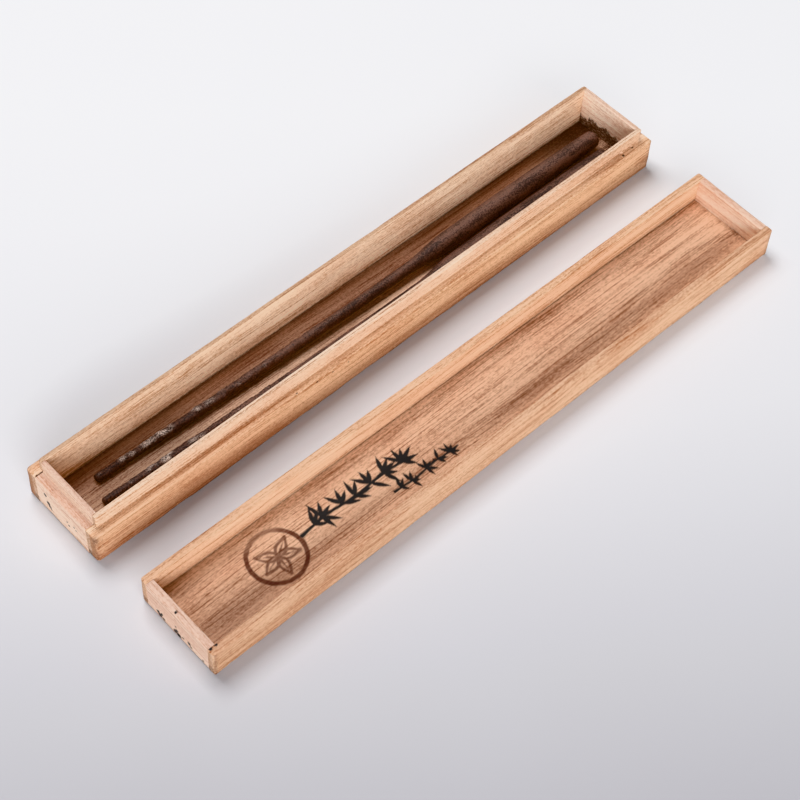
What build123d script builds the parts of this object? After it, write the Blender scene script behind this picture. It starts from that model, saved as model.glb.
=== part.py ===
from build123d import *

import os
from math import degrees

# A pair of cast-iron fire chopsticks in their long wooden box. The lid has been taken off and lies
# upside down beside the box. All sizes are in millimetres. The origin is the centre of the box's
# underside. +X runs along the box towards the chopsticks' thick ends, +Y runs across the box away
# from the lid, and +Z is up.

# Box: two full-length sides with the end boards and the floor set between them. The outer top edge
# is rebated all round, which leaves a shoulder for the lid to rest on and a thin raised lip.
LENGTH = 400.0
WIDTH = 56.0
BOX_WALL = 7.8
SHOULDER_HEIGHT = 22.5
SHOULDER_WIDTH = 5.0
LIP_HEIGHT = 8.5
LIP_THICKNESS = BOX_WALL - SHOULDER_WIDTH
BOX_FLOOR = 5.0
WORN_EDGE = 0.9

# Lid: a shallow tray whose plain walls drop over the lip and rest on the shoulder.
LID_WALL = 4.7
LID_HEIGHT = 20.5
LID_PANEL = 5.0
LID_X = 3.5
LID_Y = -87.3
LID_TURN = degrees(-0.0081)

# Wooden pegs: slim tapered nails driven through the sides and trimmed flush.
PEG_HEAD_RADIUS = 0.9
PEG_TIP_RADIUS = 0.6
PEG_GRIP = 11.0
PEG_CLEARANCE = 0.01
PEG_END_GAP = 0.2
BOX_CORNER_PEG_HEIGHTS = (8.0, 13.0, 18.5)
LID_CORNER_PEG_HEIGHTS = (8.5, 14.5)
PANEL_PEG_PITCH = 75.0
PANEL_PEG_COUNT = 5

# Chopsticks: a thin working end, a short flare and a thick barrel-shaped handle, cast in one piece.
STICK_LENGTH = 358.0
TIP_RADIUS = 2.2
NECK_RADIUS = 3.3
HANDLE_RADIUS = 6.0
NECK_AT = 211.0
HANDLE_AT = 236.5
HANDLE_MIDDLE = 286.5
HANDLE_FALL = 0.9
TIP_ROUND = 1.4
BUTT_ROUND = 3.2
BEND_POWER = 1.65
STICK_CLEARANCE = 0.1
STICK_SECTIONS = 30
STICK_YAW = 0.0069
FAR_STICK_TIP_X = -173.3
FAR_STICK_HANDLE_Y = 1.8
FAR_STICK_BEND = 4.5
NEAR_STICK_TIP_X = -178.8
NEAR_STICK_HANDLE_Y = -12.1
NEAR_STICK_BEND = 4.8


def block(x_low, x_high, y_low, y_high, z_low, z_high):
    """A rectangular block given by its limits."""
    size = (x_high - x_low, y_high - y_low, z_high - z_low)
    return Pos(x_low, y_low, z_low) * Box(*size, align=(Align.MIN, Align.MIN, Align.MIN))


def outer_edges(board, side):
    """The bottom outer edge and the two upright outer edges of a long side board."""
    outer = [e for e in board.edges() if abs(e.center().Y - side * WIDTH / 2) < 0.01]
    low = [e for e in outer if abs(e.center().Z) < 0.01]
    upright = [e for e in outer if abs(abs(e.center().X) - LENGTH / 2) < 0.01]
    return low + upright


def along_y(side, low, high):
    """A span across the width, mirrored to the +Y or the -Y side."""
    return (low, high) if side > 0 else (-high, -low)


def box_side(side):
    """A long side of the box: full length, with the shoulder cut along its top and at both ends."""
    inner = WIDTH / 2 - BOX_WALL
    outer = WIDTH / 2
    body = block(-LENGTH / 2, LENGTH / 2, *along_y(side, inner, outer), 0, SHOULDER_HEIGHT)
    body = fillet(outer_edges(body, side), WORN_EDGE)
    lip_end = LENGTH / 2 - SHOULDER_WIDTH
    lip_y = along_y(side, inner, inner + LIP_THICKNESS)
    return body + block(-lip_end, lip_end, *lip_y, SHOULDER_HEIGHT, SHOULDER_HEIGHT + LIP_HEIGHT)


def box_end(end):
    """An end board of the box: set between the sides, with the shoulder cut along its top."""
    half = WIDTH / 2 - BOX_WALL
    inner = LENGTH / 2 - BOX_WALL
    body = block(inner, LENGTH / 2, -half, half, 0, SHOULDER_HEIGHT)
    low = [e for e in body.edges() if e.center().X > LENGTH / 2 - 0.01 and e.center().Z < 0.01]
    body = fillet(low, WORN_EDGE)
    top = SHOULDER_HEIGHT + LIP_HEIGHT
    body += block(inner, inner + LIP_THICKNESS, -half, half, SHOULDER_HEIGHT, top)
    return body if end > 0 else mirror(body, Plane.YZ)


def box_floor():
    """The floor board of the box, set between its four walls."""
    x = LENGTH / 2 - BOX_WALL
    y = WIDTH / 2 - BOX_WALL
    return block(-x, x, -y, y, 0, BOX_FLOOR)


def lid_side(side):
    """A long side of the lid: a plain board of full length."""
    board = block(-LENGTH / 2, LENGTH / 2, *along_y(side, WIDTH / 2 - LID_WALL, WIDTH / 2), 0, LID_HEIGHT)
    return fillet(outer_edges(board, side), WORN_EDGE)


def lid_end(end):
    """An end board of the lid, set between its sides."""
    half = WIDTH / 2 - LID_WALL
    board = block(LENGTH / 2 - LID_WALL, LENGTH / 2, -half, half, 0, LID_HEIGHT)
    low = [e for e in board.edges() if e.center().X > LENGTH / 2 - 0.01 and e.center().Z < 0.01]
    board = fillet(low, WORN_EDGE)
    return board if end > 0 else mirror(board, Plane.YZ)


def lid_panel():
    """The flat panel of the lid, set between its four walls."""
    x = LENGTH / 2 - LID_WALL
    y = WIDTH / 2 - LID_WALL
    return block(-x, x, -y, y, 0, LID_PANEL)


def peg(side, x, z, wall, clearance=0.0):
    """A tapered peg driven inwards through a long side; with a clearance it is the peg's hole."""
    length = wall + PEG_GRIP + (PEG_END_GAP if clearance else 0.0)
    body = Cone(PEG_HEAD_RADIUS + clearance, PEG_TIP_RADIUS + clearance, length,
                align=(Align.CENTER, Align.CENTER, Align.MIN))
    inwards = Plane(origin=(x, side * WIDTH / 2, z), z_dir=(0, -side, 0))
    return inwards * body


def corner_peg_places(wall, heights):
    """Side, X and Z of each peg that holds an end board between the sides."""
    x = LENGTH / 2 - wall / 2
    return [(side, end * x, z) for side in (-1, 1) for end in (-1, 1) for z in heights]


def panel_peg_places(thickness):
    """Side, X and Z of each peg that holds the floor or the panel between the sides."""
    first = -PANEL_PEG_PITCH * (PANEL_PEG_COUNT - 1) / 2
    row = [first + PANEL_PEG_PITCH * i for i in range(PANEL_PEG_COUNT)]
    return [(side, x, thickness / 2) for side in (-1, 1) for x in row]


def pegs(places, wall):
    """A group of separate pegs."""
    return Compound(children=[peg(*place, wall) for place in places])


def drilled(board, places, wall):
    """A board with its peg holes cut."""
    box = board.bounding_box()
    reach = PEG_HEAD_RADIUS + PEG_CLEARANCE
    for place in places:
        x = place[1]
        if box.min.X - reach < x < box.max.X + reach:
            board = board - peg(*place, wall, PEG_CLEARANCE)
    return board


def stick_radius(s):
    """The chopstick's radius at the distance s from its tip."""
    thin = TIP_RADIUS + (NECK_RADIUS - TIP_RADIUS) * min(s / NECK_AT, 1.0)
    reach = (s - HANDLE_MIDDLE) / (STICK_LENGTH - HANDLE_MIDDLE)
    barrel = HANDLE_RADIUS - HANDLE_FALL * reach * reach
    t = min(max((s - NECK_AT) / (HANDLE_AT - NECK_AT), 0.0), 1.0)
    flare = t * t * (3 - 2 * t)
    return thin + (barrel - thin) * flare


def stick_centre_y(s, handle_y, bend):
    """Where the chopstick's axis lies across the box: straight handle, gently bent working end."""
    straight = handle_y + STICK_YAW * (HANDLE_MIDDLE - s)
    return straight + bend * (max(NECK_AT - s, 0.0) / NECK_AT) ** BEND_POWER


def stick_slope():
    """How steeply the chopstick rises from its tip when the tip and the handle both lie on the floor."""
    return max((stick_radius(s) - TIP_RADIUS) / s for s in range(1, int(STICK_LENGTH)))


def chopstick(tip_x, handle_y, bend):
    """One chopstick, lying on its tip and its handle on the floor of the box."""
    tip_z = BOX_FLOOR + TIP_RADIUS + STICK_CLEARANCE
    slope = stick_slope()
    sections = []
    for i in range(STICK_SECTIONS):
        s = STICK_LENGTH * i / (STICK_SECTIONS - 1)
        centre = (tip_x + s, stick_centre_y(s, handle_y, bend), tip_z + slope * s)
        place = Plane(origin=centre, z_dir=(1, 0, 0))
        sections.append(place * Circle(stick_radius(s)))
    stick = loft(sections)
    stick = fillet(stick.edges().sort_by(Axis.X)[0], TIP_ROUND)
    return fillet(stick.edges().sort_by(Axis.X)[-1], BUTT_ROUND)


def lid_in_place(shape):
    """Moves a piece of the lid to where the lid lies, upside down beside the box."""
    return Pos(LID_X, LID_Y, 0) * Rot(0, 0, LID_TURN) * shape


def box_pieces():
    """Every piece of the box, by name."""
    corners = corner_peg_places(BOX_WALL, BOX_CORNER_PEG_HEIGHTS)
    floor = panel_peg_places(BOX_FLOOR)
    places = corners + floor
    return {
        "box_floor": drilled(box_floor(), floor, BOX_WALL),
        "box_near_side": drilled(box_side(-1), places, BOX_WALL),
        "box_far_side": drilled(box_side(1), places, BOX_WALL),
        "box_left_end": drilled(box_end(-1), corners, BOX_WALL),
        "box_right_end": drilled(box_end(1), corners, BOX_WALL),
        "box_corner_pegs": pegs(corners, BOX_WALL),
        "box_floor_pegs": pegs(floor, BOX_WALL),
    }


def lid_pieces():
    """Every piece of the lid, by name, as if the lid lay at the origin."""
    corners = corner_peg_places(LID_WALL, LID_CORNER_PEG_HEIGHTS)
    panel = panel_peg_places(LID_PANEL)
    places = corners + panel
    return {
        "lid_panel": drilled(lid_panel(), panel, LID_WALL),
        "lid_near_side": drilled(lid_side(-1), places, LID_WALL),
        "lid_far_side": drilled(lid_side(1), places, LID_WALL),
        "lid_left_end": drilled(lid_end(-1), corners, LID_WALL),
        "lid_right_end": drilled(lid_end(1), corners, LID_WALL),
        "lid_corner_pegs": pegs(corners, LID_WALL),
        "lid_panel_pegs": pegs(panel, LID_WALL),
    }


def all_pieces():
    """Every piece of the set, in place."""
    pieces = box_pieces()
    for name, shape in lid_pieces().items():
        pieces[name] = lid_in_place(shape)
    pieces["far_chopstick"] = chopstick(FAR_STICK_TIP_X, FAR_STICK_HANDLE_Y, FAR_STICK_BEND)
    pieces["near_chopstick"] = chopstick(NEAR_STICK_TIP_X, NEAR_STICK_HANDLE_Y, NEAR_STICK_BEND)
    return pieces


os.makedirs("parts", exist_ok=True)
for name, shape in all_pieces().items():
    export_step(shape, f"parts/{name}.step")
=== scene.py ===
import math

import bpy
import numpy as np
from mathutils import Matrix, Vector


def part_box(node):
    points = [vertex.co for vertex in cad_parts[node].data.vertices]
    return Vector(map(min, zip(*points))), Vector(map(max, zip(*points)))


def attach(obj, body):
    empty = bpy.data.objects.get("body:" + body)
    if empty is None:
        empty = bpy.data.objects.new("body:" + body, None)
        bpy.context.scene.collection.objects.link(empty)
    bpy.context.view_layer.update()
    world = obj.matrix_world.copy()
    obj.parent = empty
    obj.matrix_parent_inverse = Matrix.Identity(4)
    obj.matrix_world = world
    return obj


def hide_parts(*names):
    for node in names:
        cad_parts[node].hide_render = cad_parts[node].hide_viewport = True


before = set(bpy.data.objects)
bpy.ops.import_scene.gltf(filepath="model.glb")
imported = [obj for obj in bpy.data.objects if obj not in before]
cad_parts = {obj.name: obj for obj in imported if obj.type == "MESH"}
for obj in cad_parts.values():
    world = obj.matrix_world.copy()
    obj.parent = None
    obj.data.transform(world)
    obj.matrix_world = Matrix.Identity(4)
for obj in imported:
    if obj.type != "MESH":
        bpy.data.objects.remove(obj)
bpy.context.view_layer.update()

# A pair of cast-iron fire chopsticks in a long wooden box, with the lid lying upside down beside it.
# Shapes are worked out in millimetres and written to the meshes in metres.
MM = 0.001

# Sizes of the boards, as in the CAD model. The overall length and width come from its nodes.
SHOULDER_HEIGHT = 22.5
SHOULDER_WIDTH = 5.0
LIP_ROOT = SHOULDER_HEIGHT - 3.0
BOX_HEIGHT = 31.0
BOX_WALL = 7.8
BOX_FLOOR = 5.0
LID_WALL = 4.7
LID_HEIGHT = 20.5
LID_PANEL = 5.0
LID_PLACE = (3.5, -87.3)
LID_TURN = -0.0081

LENGTH = (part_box("box_far_side")[1].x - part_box("box_far_side")[0].x) / MM
WIDTH = (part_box("box_far_side")[1].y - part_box("box_near_side")[0].y) / MM
HALF_LENGTH = LENGTH / 2
HALF_WIDTH = WIDTH / 2
BOX_INSIDE_Y = HALF_WIDTH - BOX_WALL
BOX_INSIDE_X = HALF_LENGTH - BOX_WALL
LID_INSIDE_Y = HALF_WIDTH - LID_WALL
LID_INSIDE_X = HALF_LENGTH - LID_WALL
LIP_OUTSIDE = BOX_INSIDE_Y + BOX_WALL - SHOULDER_WIDTH
LIP_END = HALF_LENGTH - SHOULDER_WIDTH

# Chopsticks, as in the CAD model: a thin working end, a flare and a barrel-shaped handle. Distances
# along a chopstick are measured from its tip.
STICK_LENGTH = 358.0
TIP_RADIUS = 2.2
NECK_RADIUS = 3.3
HANDLE_RADIUS = 6.0
NECK_AT = 211.0
HANDLE_AT = 236.5
HANDLE_MIDDLE = 286.5
HANDLE_FALL = 0.9
TIP_ROUND = 1.4
BUTT_ROUND = 3.2
BEND_POWER = 1.65
STICK_YAW = 0.0069
STICK_CLEARANCE = 0.1

# Where each chopstick lies: X of its tip, Y of its handle, and the bend of its working end.
FAR_STICK = (-173.3, 1.8, 4.5)
NEAR_STICK = (-178.8, -12.1, 4.8)

# Rounding left by wear, in millimetres.
JOINT_EDGE = 0.16
SOFT_EDGE = 0.45
WORN_EDGE = 1.6
SHOULDER_EDGE = 0.8
LIP_CORNER = 2.2
LID_INNER_EDGE = SOFT_EDGE * 0.7
SHARP = (0.0, 0.0, 0.0)

# Grid pitch of a board along X, Y and Z.
BOARD_PITCH = (2.0, 1.6, 1.6)
END_PITCH = (1.2, 0.45, 0.45)

# Grid lines of a board: how far they stand from an edge, and how close together two may be.
EDGE_STEPS = (0.1, 0.25, 0.45, 0.75, 1.15, 1.7)
EDGE_GAP = 0.06
GAP_SHARE = 0.3


# -------------------- camera, light and floor

CAMERA_AIM = (-26.6, -59.9, 12.0)
CAMERA_DISTANCE = 992.8
CAMERA_AZIMUTH = math.radians(-46.34)
CAMERA_ELEVATION = math.radians(55.04)
CAMERA_ROLL = math.radians(4.14)
CAMERA_LENS = 85.78

# Lights: places, aims and sizes are in metres, and powers in watts.
KEY_PLACE = (0.02, 0.62, 1.45)
KEY_AIM = (0.0, -0.03, 0.0)
KEY_SIZE = (0.85, 0.85)
KEY_POWER = 22.5
KEY_COLOUR = (1.0, 0.99, 0.98)
FRONT_PLACE = (-2.0, -3.2, 1.5)
FRONT_AIM = (0.0, -0.04, 0.0)
FRONT_SIZE = (4.4, 2.3)
FRONT_POWER = 200.0
FRONT_COLOUR = (1.0, 0.99, 0.985)
SKY_COLOUR = (0.86, 0.93, 1.0, 1.0)
SKY_STRENGTH = 0.15


def add_camera():
    """The camera, at the photograph's viewing angle."""
    level = math.cos(CAMERA_ELEVATION)
    back = Vector((math.sin(CAMERA_AZIMUTH) * level, -math.cos(CAMERA_AZIMUTH) * level,
                   math.sin(CAMERA_ELEVATION)))
    flat_right = Vector((0, 0, 1)).cross(back).normalized()
    flat_up = back.cross(flat_right)
    right = flat_right * math.cos(CAMERA_ROLL) + flat_up * math.sin(CAMERA_ROLL)
    up = back.cross(right)
    data = bpy.data.cameras.new("camera")
    data.lens = CAMERA_LENS
    camera = bpy.data.objects.new("camera", data)
    turned = Matrix((right, up, back)).transposed().to_4x4()
    place = (Vector(CAMERA_AIM) + back * CAMERA_DISTANCE) * MM
    camera.matrix_world = Matrix.Translation(place) @ turned
    bpy.context.scene.collection.objects.link(camera)
    bpy.context.scene.camera = camera


def add_softbox(name, place, aim, size, power, colour):
    """A rectangular area light that faces a point."""
    data = bpy.data.lights.new(name, "AREA")
    data.shape = "RECTANGLE"
    data.size, data.size_y = size
    data.energy = power
    data.color = colour
    light = bpy.data.objects.new(name, data)
    light.location = place
    light.rotation_euler = (Vector(place) - Vector(aim)).to_track_quat("Z", "Y").to_euler()
    light.visible_camera = False
    bpy.context.scene.collection.objects.link(light)


def add_lights():
    """A soft key light behind the box, a low wide front light, and an even fill from all round."""
    add_softbox("key_light", KEY_PLACE, KEY_AIM, KEY_SIZE, KEY_POWER, KEY_COLOUR)
    add_softbox("front_light", FRONT_PLACE, FRONT_AIM, FRONT_SIZE, FRONT_POWER, FRONT_COLOUR)
    world = bpy.data.worlds.new("studio")
    world.use_nodes = True
    background = world.node_tree.nodes["Background"]
    background.inputs["Color"].default_value = SKY_COLOUR
    background.inputs["Strength"].default_value = SKY_STRENGTH
    bpy.context.scene.world = world
    bpy.context.scene.view_settings.view_transform = "Khronos PBR Neutral"


# -------------------- materials


def srgb(red, green, blue):
    """A linear colour from its 8-bit screen values."""
    parts = [value / 255 for value in (red, green, blue)]
    linear = [p / 12.92 if p <= 0.04045 else ((p + 0.055) / 1.055) ** 2.4 for p in parts]
    return (*linear, 1.0)


class Material:
    """A node material, with short calls for the nodes that this scene uses."""

    def __init__(self, name):
        self.material = bpy.data.materials.new(name)
        self.material.use_nodes = True
        self.tree = self.material.node_tree
        self.tree.nodes.clear()
        self.shader = self.tree.nodes.new("ShaderNodeBsdfPrincipled")
        output = self.tree.nodes.new("ShaderNodeOutputMaterial")
        self.tree.links.new(self.shader.outputs["BSDF"], output.inputs["Surface"])

    def put(self, socket, value):
        """Links an output to a socket, or sets the socket's own value."""
        if isinstance(value, bpy.types.NodeSocket):
            self.tree.links.new(value, socket)
        else:
            socket.default_value = value

    def attribute(self, name, output="Fac"):
        """An attribute of the mesh."""
        node = self.tree.nodes.new("ShaderNodeAttribute")
        node.attribute_name = name
        return node.outputs[output]

    def maths(self, operation, first, second=0.0):
        """One step of arithmetic on numbers."""
        node = self.tree.nodes.new("ShaderNodeMath")
        node.operation = operation
        self.put(node.inputs[0], first)
        self.put(node.inputs[1], second)
        return node.outputs[0]

    def vector(self, operation, first, second):
        """One step of arithmetic on vectors."""
        node = self.tree.nodes.new("ShaderNodeVectorMath")
        node.operation = operation
        self.put(node.inputs[0], first)
        self.put(node.inputs[1], second)
        return node.outputs[0]

    def noise(self, place, scales, detail=2.0, roughness=0.5):
        """Noise from about 0.2 to 0.8, with so many cells per millimetre along each axis."""
        node = self.tree.nodes.new("ShaderNodeTexNoise")
        self.put(node.inputs["Vector"], self.vector("MULTIPLY", place, scales))
        node.inputs["Scale"].default_value = 1.0
        node.inputs["Detail"].default_value = detail
        node.inputs["Roughness"].default_value = roughness
        return node.outputs["Fac"]

    def between(self, value, low, high, interpolation="SMOOTHSTEP"):
        """Rises from 0 at low to 1 at high, with smooth ends unless it is linear."""
        node = self.tree.nodes.new("ShaderNodeMapRange")
        node.interpolation_type = interpolation
        self.put(node.inputs["Value"], value)
        node.inputs["From Min"].default_value = low
        node.inputs["From Max"].default_value = high
        return node.outputs["Result"]

    def around_half(self, base, *terms):
        """A base plus each term's amount times how far its value is above a half."""
        for value, amount in terms:
            above = self.maths("SUBTRACT", value, 0.5)
            base = self.maths("ADD", self.maths("MULTIPLY", above, amount), base)
        return base

    def mix(self, share, first, second, blend="MIX"):
        """Goes from the first colour to the second, or to the first blended with the second."""
        node = self.tree.nodes.new("ShaderNodeMix")
        node.data_type = "RGBA"
        node.blend_type = blend
        self.put(node.inputs["Factor"], share)
        self.put(node.inputs[6], first)
        self.put(node.inputs[7], second)
        return node.outputs[2]

    def bump(self, height, strength, distance):
        """Gives the shader a relief, with its depth in millimetres."""
        node = self.tree.nodes.new("ShaderNodeBump")
        node.inputs["Strength"].default_value = strength
        node.inputs["Distance"].default_value = distance * MM
        self.put(node.inputs["Height"], height)
        self.put(self.shader.inputs["Normal"], node.outputs["Normal"])


# Colours that every wood shares. The rosy tone multiplies the wood's own colour.
ROSY = (0.98, 0.92, 0.9, 1.0)
END_GRAIN = srgb(150, 98, 62)
DIRT = srgb(84, 56, 45)
BURNED = srgb(82, 40, 30)
INK = srgb(40, 38, 38)

# How strongly the fine dark lines and the pores show in every wood.
LINE_AMOUNT = 0.45
PORE_AMOUNT = 0.4

# How far the grain wanders sideways, in millimetres.
WANDER = 7.0

# Colours of the iron: each pair is a dark and a light one.
CRUST = (srgb(48, 37, 36), srgb(104, 78, 70))
RUBBED = (srgb(66, 51, 47), srgb(134, 101, 89))
RUST = srgb(128, 84, 62)
SOOT = srgb(50, 42, 42)
ASH = srgb(226, 208, 196)

# Colours of the backdrop paper, darker at the front as painted shade, and where it goes from one to the
# other, in metres along a direction.
PAPER_NEAR_SHADE = srgb(160, 158, 165)
PAPER_FAR = srgb(247, 247, 250)
PAPER_CLOUD = srgb(220, 222, 230)
PAPER_DIRECTION = (0.65, 0.76, 0.0)
PAPER_SPAN = (-0.42, 0.15)


def wood(name, pale, deep, pore):
    """Fine-grained wood. Its place attribute runs along the grain in X, in millimetres."""
    m = Material(name)
    place = m.attribute("place", "Vector")
    wander = m.noise(place, (0.008, 0.03, 0.03), detail=1.0)
    shift = m.maths("MULTIPLY", m.maths("SUBTRACT", wander, 0.5), WANDER)
    sideways = m.tree.nodes.new("ShaderNodeCombineXYZ")
    m.put(sideways.inputs[1], shift)
    m.put(sideways.inputs[2], shift)
    warped = m.vector("ADD", place, sideways.outputs[0])

    figure = m.noise(warped, (0.004, 0.16, 0.16), detail=3.0, roughness=0.6)
    lines = m.noise(warped, (0.007, 1.1, 1.1), detail=2.0, roughness=0.6)
    fibres = m.noise(warped, (0.05, 2.6, 2.6), detail=2.0, roughness=0.6)
    dashes = m.noise(warped, (0.3, 2.5, 2.5), detail=1.5)
    grain = m.noise(place, (0.6, 1.3, 1.3), detail=3.0, roughness=0.7)
    blotch = m.noise(place, (0.02, 0.06, 0.06), detail=2.0)

    tone = m.around_half(0.36, (figure, 1.0), (lines, 0.9), (fibres, 1.0), (grain, 1.6),
                         (blotch, 0.45))
    line = m.maths("MULTIPLY", m.between(lines, 0.54, 0.68), m.between(dashes, 0.34, 0.52))
    tone = m.maths("ADD", tone, m.maths("MULTIPLY", line, LINE_AMOUNT))
    colour = m.mix(m.between(tone, -0.05, 1.0), pale, deep)
    pits = m.between(m.around_half(0.5, (dashes, 1.0), (lines, 0.4)), 0.64, 0.75)
    colour = m.mix(m.maths("MULTIPLY", pits, PORE_AMOUNT), colour, pore)
    rosy = m.maths("MULTIPLY", m.between(blotch, 0.42, 0.62), 0.6)
    colour = m.mix(rosy, colour, ROSY, blend="MULTIPLY")

    colour = m.mix(1.0, colour, m.attribute("tint", "Color"), blend="MULTIPLY")
    ends = m.maths("MULTIPLY", m.attribute("ends"), 0.35)
    colour = m.mix(ends, colour, END_GRAIN)
    # The grime attribute is dirt, and on the box's floor and right end partly painted shade as well.
    dirt = m.maths("MULTIPLY", m.attribute("grime"), m.between(grain, 0.2, 0.55))
    colour = m.mix(dirt, colour, DIRT)
    colour = m.mix(m.attribute("burn"), colour, BURNED)
    colour = m.mix(m.attribute("ink"), colour, INK)

    m.put(m.shader.inputs["Base Color"], colour)
    rough = m.around_half(0.66, (grain, 0.3))
    shine = m.maths("MULTIPLY", m.attribute("ink"), -0.12)
    m.put(m.shader.inputs["Roughness"], m.maths("ADD", rough, shine))
    m.shader.inputs["Specular IOR Level"].default_value = 0.25
    relief = m.around_half(0.5, (fibres, 0.5), (grain, 0.8), (pits, -0.5), (line, -0.3))
    m.bump(relief, 0.8, 0.14)
    return m.material


def iron(name):
    """Old cast iron: a dark crust at the tip, rubbed brown towards the handle, with rust, soot and ash."""
    m = Material(name)
    place = m.attribute("place", "Vector")
    cloud = m.noise(place, (0.05, 0.22, 0.22), detail=3.0, roughness=0.6)
    grit = m.noise(place, (1.1, 1.3, 1.3), detail=3.0, roughness=0.68)
    fine = m.noise(place, (3.4, 3.8, 3.8), detail=2.0, roughness=0.6)

    crust = m.mix(m.between(grit, 0.36, 0.66), *CRUST)
    worn = m.between(m.around_half(0.5, (cloud, 0.8), (grit, 1.1)), 0.34, 0.68)
    colour = m.mix(m.attribute("rubbed"), crust, m.mix(worn, *RUBBED))
    rust = m.between(m.around_half(0.5, (cloud, 0.8), (grit, 0.8)), 0.58, 0.76)
    colour = m.mix(m.maths("MULTIPLY", rust, 0.4), colour, RUST)
    soot = m.between(m.around_half(0.5, (fine, 1.0), (cloud, 0.5)), 0.56, 0.72)
    colour = m.mix(m.maths("MULTIPLY", soot, 0.6), colour, SOOT)
    flakes = m.between(m.around_half(0.5, (grit, 1.0), (fine, 0.8)), 0.42, 0.6)
    ash = m.maths("MULTIPLY", m.attribute("ash"), flakes)
    colour = m.mix(ash, colour, ASH)

    m.put(m.shader.inputs["Base Color"], colour)
    rough = m.around_half(0.55, (grit, 0.4))
    m.put(m.shader.inputs["Roughness"], m.maths("ADD", rough, m.maths("MULTIPLY", ash, 0.3)))
    m.shader.inputs["Metallic"].default_value = 0.15
    m.shader.inputs["Specular IOR Level"].default_value = 0.4
    m.bump(m.around_half(0.5, (grit, 1.0), (fine, 0.6)), 0.8, 0.3)
    return m.material


def paper(name):
    """Plain pale backdrop paper, a little darker towards the front as painted shade."""
    m = Material(name)
    coordinates = m.tree.nodes.new("ShaderNodeTexCoord").outputs["Object"]
    depth = m.tree.nodes.new("ShaderNodeVectorMath")
    depth.operation = "DOT_PRODUCT"
    m.put(depth.inputs[0], coordinates)
    depth.inputs[1].default_value = PAPER_DIRECTION
    # Painted shade: the paper darkens towards the front.
    back = m.between(depth.outputs["Value"], *PAPER_SPAN, "LINEAR")
    colour = m.mix(back, PAPER_NEAR_SHADE, PAPER_FAR)
    cloud = m.noise(coordinates, (6.0, 6.0, 6.0), detail=2.0)
    colour = m.mix(m.maths("MULTIPLY", m.between(cloud, 0.3, 0.7), 0.05), colour, PAPER_CLOUD)
    m.put(m.shader.inputs["Base Color"], colour)
    m.shader.inputs["Roughness"].default_value = 0.9
    m.shader.inputs["Specular IOR Level"].default_value = 0.1
    return m.material


# -------------------- numbers for meshes


# Large odd numbers that scramble the place of a noise cell and its seed.
CELL_SCRAMBLE = (73856093, 19349663, 83492791)
SEED_SCRAMBLE = 2654435761
FIRST_SCRAMBLE = 1274126177
SECOND_SCRAMBLE = 2246822519


def smooth_noise(points, seed):
    """Smooth noise from -1 to 1 at each point, with one cell per unit."""
    cell = np.floor(points).astype(np.int64)
    share = points - cell
    share = share * share * (3 - 2 * share)
    total = np.zeros(len(points))
    for corner in np.ndindex(2, 2, 2):
        parts = (cell + np.array(corner)) * CELL_SCRAMBLE
        mixed = parts[:, 0] ^ parts[:, 1] ^ parts[:, 2] ^ seed * SEED_SCRAMBLE
        mixed = (mixed ^ (mixed >> 13)) * FIRST_SCRAMBLE & 0xFFFFFFFF
        mixed = (mixed ^ (mixed >> 16)) * SECOND_SCRAMBLE & 0xFFFFFFFF
        weight = np.prod(np.where(corner, share, 1 - share), axis=1)
        total += weight * (mixed / 0x7FFFFFFF - 1)
    return total


def rise(value, low, high):
    """Rises smoothly from 0 at low to 1 at high."""
    share = np.clip((value - low) / (high - low), 0, 1)
    return share * share * (3 - 2 * share)


def spot(points, centre, radii):
    """1 at a centre, falling smoothly to 0 at the radii."""
    reach = np.linalg.norm((points - centre) / np.array(radii), axis=1)
    return 1 - rise(reach, 0.3, 1.0)


def quad_normals(points, quads):
    """Unit normals at the points of a closed mesh of quads."""
    first = points[quads[:, 2]] - points[quads[:, 0]]
    second = points[quads[:, 3]] - points[quads[:, 1]]
    across = np.cross(first, second)
    normals = np.zeros_like(points)
    for corner in range(4):
        np.add.at(normals, quads[:, corner], across)
    return normals / np.maximum(np.linalg.norm(normals, axis=1, keepdims=True), 1e-12)


def grid_lines(marks, pitch, fine):
    """Grid lines over the span of the marks: close together beside each mark and in the fine spans.

    A fine span is (start, stop, pitch)."""
    low, high = min(marks), max(marks)
    marks = sorted(set(marks))
    kept = []

    def keep(places, gap_at):
        """Keeps the places that lie in the span and clear of those already kept."""
        for place in places:
            gap = gap_at(place)
            if low <= place <= high and all(abs(place - other) > gap for other in kept):
                kept.append(place)

    def spread_gap(place):
        """The least gap at a place between the edges."""
        return GAP_SHARE * min([pitch] + [step for start, stop, step in fine if start <= place <= stop])

    beside = [mark + side * step for step in EDGE_STEPS for mark in marks for side in (-1, 1)]
    spread = [place for start, stop, step in fine for place in np.arange(start, stop, step)]
    spread += list(np.linspace(low, high, max(2, int((high - low) / pitch) + 1)))
    keep(marks + beside, lambda place: EDGE_GAP)
    keep(spread, spread_gap)
    return np.array(sorted(kept))


def grid_shell(lines, filled):
    """The outer quads of the filled cells of a grid, and their points."""
    counts = [len(line) for line in lines]
    padded = np.pad(filled, 1)
    quads = []
    for axis in range(3):
        for side in (-1, 1):
            beyond = np.roll(padded, -side, axis)[1:-1, 1:-1, 1:-1]
            cells = np.argwhere(filled & ~beyond)
            if side > 0:
                cells[:, axis] += 1
            one = np.zeros(3, int)
            two = np.zeros(3, int)
            one[(axis + 1) % 3] = 1
            two[(axis + 2) % 3] = 1
            ring = [cells, cells + one, cells + one + two, cells + two]
            if side < 0:
                ring.reverse()
            quads.append(np.stack([np.ravel_multi_index(corner.T, counts) for corner in ring], 1))
    quads = np.concatenate(quads)
    used, quads = np.unique(quads, return_inverse=True)
    quads = quads.reshape(-1, 4)
    index = np.unravel_index(used, counts)
    return np.stack([lines[axis][index[axis]] for axis in range(3)], 1), quads


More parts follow.
